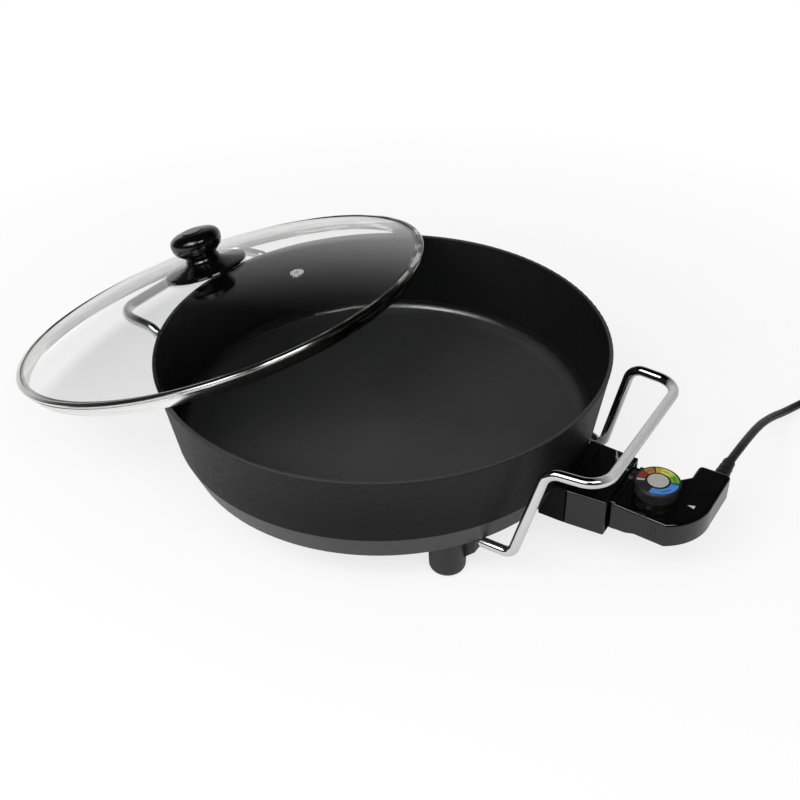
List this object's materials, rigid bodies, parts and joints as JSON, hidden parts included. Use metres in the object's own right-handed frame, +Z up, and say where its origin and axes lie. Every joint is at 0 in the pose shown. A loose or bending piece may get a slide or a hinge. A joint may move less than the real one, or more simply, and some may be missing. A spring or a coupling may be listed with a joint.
{
  "type": "electric skillet",
  "caption": "Round electric skillet with a domed glass lid parked on its rim, rod handles, feet and a pull-out thermostat control with mains cord.",
  "frame": {"origin": "centre of the cooking surface, on the pan's axis", "axes": "+X out of the control socket, along the line through both handles; +Z up"},
  "size_m": [0.9321, 0.5507, 0.1863],
  "materials": {
    "cast": "satin dark grey non-stick coating with a fine fleck",
    "element": "oxidised heater sheath",
    "steel": "plain stainless steel",
    "brass": "plain contact brass",
    "plug_metal": "nickel-plated",
    "black_gloss": "moulded phenolic, polished",
    "black_matte": "moulded, fine texture",
    "chrome": "bright chrome plate",
    "band": "polished stainless steel",
    "glass": "clear toughened glass",
    "scale": "printed scale in coloured steps",
    "cap": "satin aluminium disc",
    "cord": "soft matt black sheath"
  },
  "bodies": {
    "pan": {"pan_bowl": "cast", "heating_element": "element", "terminal_pins": "brass", "terminal_plate": "black_matte", "earth_contact": "brass", "guard_bracket": "black_gloss", "bracket_screws": "steel", "socket_guard": "black_gloss", "foot_right_front": "black_matte", "foot_right_back": "black_matte", "foot_left_front": "black_matte", "foot_left_back": "black_matte", "foot_screws": "steel", "handle_right": "chrome", "handle_left": "chrome"},
    "lid": {"lid_glass": "glass", "lid_band": "band", "lid_vent": "steel", "lid_knob_base": "black_gloss", "lid_knob": "black_gloss", "lid_knob_screw": "steel", "lid_knob_washer": "steel"},
    "control": {"control_upper_housing": "black_gloss", "control_bottom_cover": "black_gloss", "control_screws": "steel", "temperature_probe": "steel", "contact_sleeves": "brass", "contact_carrier": "black_matte", "thermostat_switch": "black_matte", "cord_clamp": "black_matte", "strain_relief": "cord", "cord_entry": "cord", "power_cord": "cord", "cord_coil": "cord", "cord_tie": "cord", "power_cord_tail": "cord", "plug_body": "cord", "plug_pins": "plug_metal"},
    "dial": {"dial_spindle": "steel", "dial_knob": "black_matte", "dial_scale_ring": "scale", "dial_centre_cap": "cap"}
  },
  "joints": [
    {"name": "lid_lift", "type": "slide", "parent": "pan", "child": "lid", "axis": [0, 0, 1], "range_m": [0, 0.15]},
    {"name": "control_pull_out", "type": "slide", "parent": "pan", "child": "control", "axis": [1, 0, 0], "range_m": [0, 0.09]},
    {"name": "dial_turn", "type": "hinge", "parent": "control", "child": "dial", "pos_m": [0.2606, 0, 0.02], "axis": [0, 0, 1], "range_deg": [-210, 50]}
  ]
}
